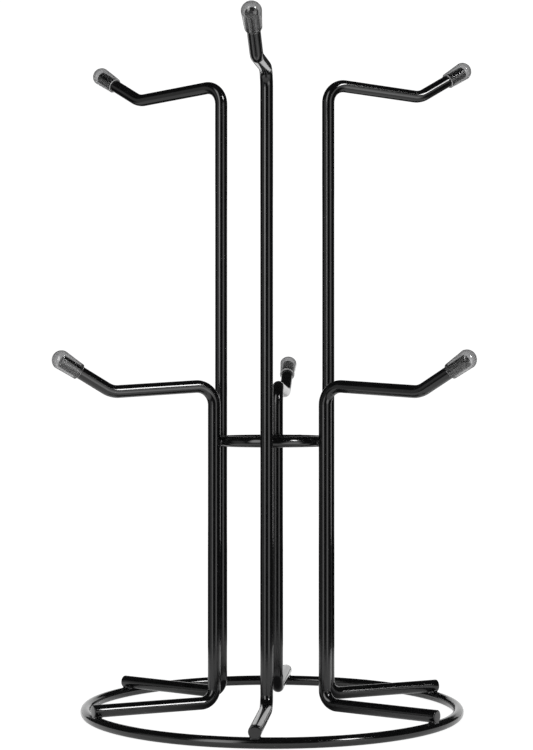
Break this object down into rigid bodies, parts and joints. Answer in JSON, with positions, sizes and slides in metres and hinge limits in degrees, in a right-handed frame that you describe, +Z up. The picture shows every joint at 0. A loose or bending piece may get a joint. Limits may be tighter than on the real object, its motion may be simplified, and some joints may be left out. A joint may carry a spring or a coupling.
{
  "type": "mug tree",
  "caption": "Free-standing wire mug tree: bent rod hooks at two heights, welded round a base ring and a smaller middle ring, with soft caps on the raised tips.",
  "frame": {"origin": "on the surface that the tree stands on, on the vertical axis through the centres of both rings", "axes": "+Z up along the posts; -Y points out along the front tall hook; +X is to the right seen from the front"},
  "size_m": [0.1936, 0.2222, 0.3215],
  "materials": {
    "black_coat": "gloss black powder coat on steel wire",
    "smoke_vinyl": "translucent smoke-grey soft vinyl, dip moulded"
  },
  "bodies": {
    "root": {"base_ring": "black_coat", "middle_ring": "black_coat", "tall_hook_front": "black_coat", "short_hook_front_right": "black_coat", "tall_hook_rear_right": "black_coat", "short_hook_rear": "black_coat", "tall_hook_rear_left": "black_coat", "short_hook_front_left": "black_coat", "tall_tip_cap_front": "smoke_vinyl", "short_tip_cap_front_right": "smoke_vinyl", "tall_tip_cap_rear_right": "smoke_vinyl", "short_tip_cap_rear": "smoke_vinyl", "tall_tip_cap_rear_left": "smoke_vinyl", "short_tip_cap_front_left": "smoke_vinyl", "foot_welds": "black_coat", "middle_ring_welds": "black_coat"}
  },
  "joints": []
}
